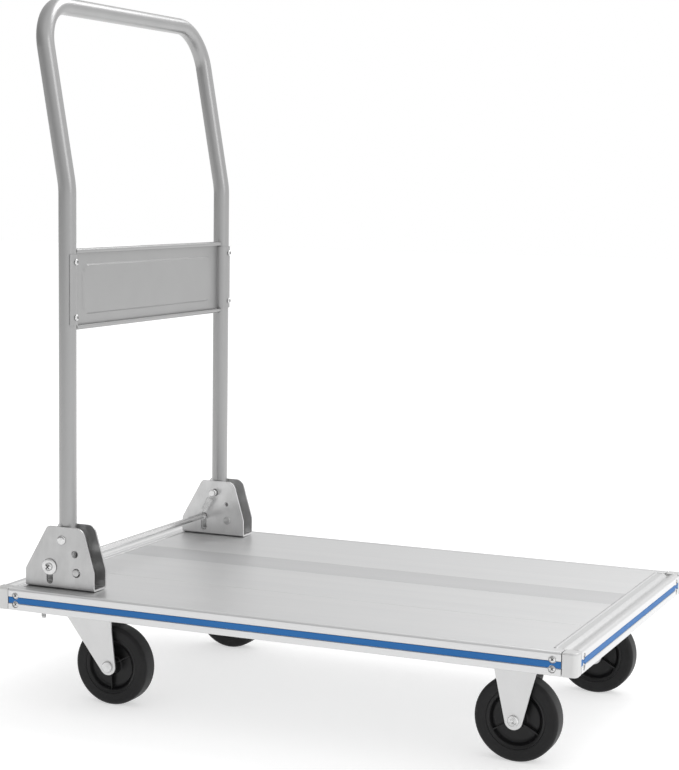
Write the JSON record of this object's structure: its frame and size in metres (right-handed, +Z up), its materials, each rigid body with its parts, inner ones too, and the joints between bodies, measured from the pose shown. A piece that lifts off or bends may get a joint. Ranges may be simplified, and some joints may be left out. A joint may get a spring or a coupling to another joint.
{
  "type": "folding platform cart",
  "caption": "Low aluminium platform cart on fixed and swivel casters, with an upright tube handle that folds down over the deck to store, for moving boxes by hand.",
  "frame": {"origin": "on the floor, under the middle of the deck", "axes": "+X along the deck, away from the handle; +Y to the left of a person who pushes the cart; +Z up"},
  "size_m": [0.74, 0.48, 0.8711],
  "materials": {
    "deck_aluminium": "satin, fine lengthwise drawing lines",
    "blue_trim": "satin",
    "silver_paint": "satin silver grey",
    "zinc_plate": "satin zinc plating",
    "bright_zinc": "bright zinc plating",
    "black_plastic": "satin",
    "black_rubber": "matt"
  },
  "bodies": {
    "deck": {"side_plank_right": "deck_aluminium", "side_plank_left": "deck_aluminium", "centre_plank_wide": "deck_aluminium", "centre_plank_narrow": "deck_aluminium", "end_rail_rear": "deck_aluminium", "end_rail_front": "deck_aluminium", "corner_block_rear_right": "deck_aluminium", "corner_block_rear_left": "deck_aluminium", "corner_block_front_right": "deck_aluminium", "corner_block_front_left": "deck_aluminium", "trim_strip_right": "blue_trim", "trim_strip_left": "blue_trim", "trim_strip_rear": "blue_trim", "trim_strip_front": "blue_trim", "handle_bracket_right": "zinc_plate", "handle_bracket_left": "zinc_plate", "stop_pin_right": "zinc_plate", "stop_pin_left": "zinc_plate", "fixed_fork_right": "zinc_plate", "fixed_fork_left": "zinc_plate", "swivel_plate_right": "zinc_plate", "swivel_plate_left": "zinc_plate", "pivot_pin_right": "bright_zinc", "pivot_pin_left": "bright_zinc", "bracket_bolt_rear_right": "bright_zinc", "bracket_bolt_rear_left": "bright_zinc", "bracket_bolt_front_right": "bright_zinc", "bracket_bolt_front_left": "bright_zinc", "fixed_axle_right": "bright_zinc", "fixed_axle_left": "bright_zinc", "kingpin_right": "bright_zinc", "kingpin_left": "bright_zinc", "swivel_race_right": "bright_zinc", "swivel_race_left": "bright_zinc"},
    "handle": {"handle_tube": "silver_paint", "handle_panel": "silver_paint", "panel_screw_upper_right": "bright_zinc", "panel_screw_upper_left": "bright_zinc", "panel_screw_lower_right": "bright_zinc", "panel_screw_lower_left": "bright_zinc"},
    "lock_bar": {"lock_bar": "bright_zinc", "lock_washer_right": "bright_zinc", "lock_washer_left": "bright_zinc", "lock_screw_right": "bright_zinc", "lock_screw_left": "bright_zinc", "lock_spring_right": "bright_zinc", "lock_spring_left": "bright_zinc"},
    "swivel_right": {"swivel_fork_right": "zinc_plate", "swivel_axle_right": "bright_zinc"},
    "swivel_wheel_right": {"swivel_wheel_core_right": "black_plastic", "swivel_tyre_right": "black_rubber"},
    "fixed_wheel_right": {"fixed_wheel_core_right": "black_plastic", "fixed_tyre_right": "black_rubber"},
    "swivel_left": {"swivel_fork_left": "zinc_plate", "swivel_axle_left": "bright_zinc"},
    "swivel_wheel_left": {"swivel_wheel_core_left": "black_plastic", "swivel_tyre_left": "black_rubber"},
    "fixed_wheel_left": {"fixed_wheel_core_left": "black_plastic", "fixed_tyre_left": "black_rubber"}
  },
  "joints": [
    {"name": "handle_fold", "type": "hinge", "parent": "deck", "child": "handle", "pos_m": [-0.29, 0, 0.211], "axis": [0, 1, 0], "range_deg": [0, 90]},
    {"name": "lock_bar_press", "type": "slide", "parent": "deck", "child": "lock_bar", "axis": [0, 0, -1], "range_m": [0, 0.0165], "stiffness_N_per_m": 800, "springref_m": -0.02, "deforming": ["lock_spring_right", "lock_spring_left"]},
    {"name": "swivel_turn_right", "type": "hinge", "parent": "deck", "child": "swivel_right", "pos_m": [-0.276, -0.162, 0.1204], "axis": [0, 0, 1], "continuous": true},
    {"name": "swivel_wheel_roll_right", "type": "hinge", "parent": "swivel_right", "child": "swivel_wheel_right", "pos_m": [-0.246, -0.162, 0.05], "axis": [0, 1, 0], "continuous": true},
    {"name": "fixed_wheel_roll_right", "type": "hinge", "parent": "deck", "child": "fixed_wheel_right", "pos_m": [0.281, -0.162, 0.05], "axis": [0, 1, 0], "continuous": true},
    {"name": "swivel_turn_left", "type": "hinge", "parent": "deck", "child": "swivel_left", "pos_m": [-0.276, 0.162, 0.1204], "axis": [0, 0, 1], "continuous": true},
    {"name": "swivel_wheel_roll_left", "type": "hinge", "parent": "swivel_left", "child": "swivel_wheel_left", "pos_m": [-0.246, 0.162, 0.05], "axis": [0, 1, 0], "continuous": true},
    {"name": "fixed_wheel_roll_left", "type": "hinge", "parent": "deck", "child": "fixed_wheel_left", "pos_m": [0.281, 0.162, 0.05], "axis": [0, 1, 0], "continuous": true}
  ]
}
